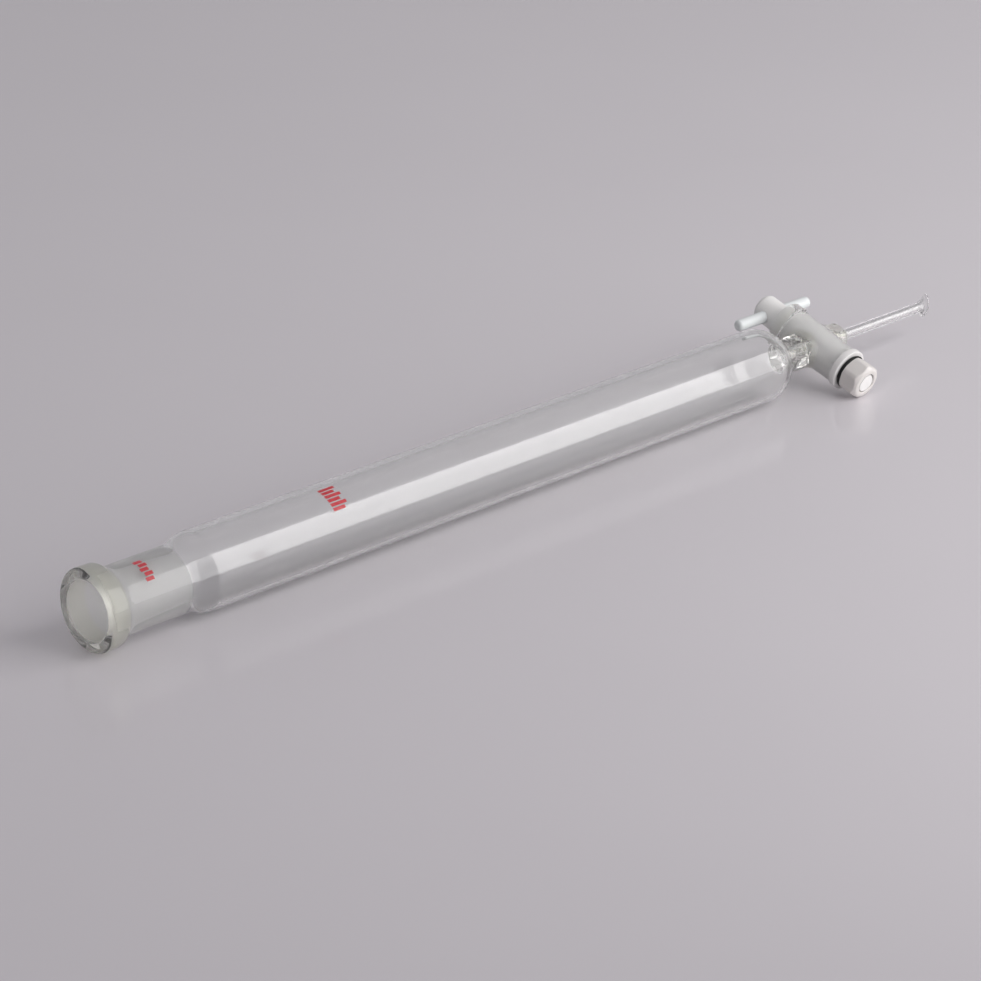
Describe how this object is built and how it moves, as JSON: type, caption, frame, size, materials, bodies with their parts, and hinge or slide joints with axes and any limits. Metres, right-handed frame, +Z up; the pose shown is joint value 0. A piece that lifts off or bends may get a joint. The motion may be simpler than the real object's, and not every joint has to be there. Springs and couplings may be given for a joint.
{
  "type": "dropping funnel",
  "caption": "Long cylindrical glass funnel with a ground socket at one end and a turning plug stopcock and slender drip stem at the other.",
  "frame": {"origin": "on the barrel's axis, halfway along the whole length, where a stand's clamp grips the barrel", "axes": "+X along the barrel from the socket towards the drip stem, +Z up with the funnel lying on its side, so the bench is at z = -16.5 mm; the stopcock's nut is on the -Y side and its handle on the +Y side"},
  "size_m": [0.4718, 0.0638, 0.033],
  "materials": {
    "glass": "clear borosilicate glass, ground inside the socket",
    "ptfe": "waxy white fluoropolymer",
    "moulding": "off-white moulded plastic",
    "rubber": "matte black",
    "enamel": "red fired print"
  },
  "bodies": {
    "vessel": {"socket": "glass", "shoulder": "glass", "barrel": "glass", "dome": "glass", "stopcock_shell": "glass", "stem": "glass", "drip_lip": "glass", "size_mark": "enamel", "maker_mark": "enamel"},
    "plug": {"plug": "ptfe", "handle_bar": "ptfe"},
    "seals": {"washer": "ptfe", "seal_ring": "rubber"},
    "nut": {"nut": "moulding"}
  },
  "joints": [
    {"name": "key_turn", "type": "hinge", "parent": "vessel", "child": "plug", "pos_m": [0.16061, 0, 0], "axis": [0, -0.9537, -0.3007], "continuous": true},
    {"name": "seal_slide", "type": "slide", "parent": "plug", "child": "seals", "axis": [0, -0.9537, -0.3007], "range_m": [0, 0.003]},
    {"name": "nut_turn", "type": "hinge", "parent": "seals", "child": "nut", "pos_m": [0.16061, 0, 0], "axis": [0, -0.9537, -0.3007], "range_deg": [0, 720.5]}
  ],
  "couplings": [
    {"joint": "nut_turn", "follows": "seal_slide", "rad_per_m": 4188.8}
  ]
}
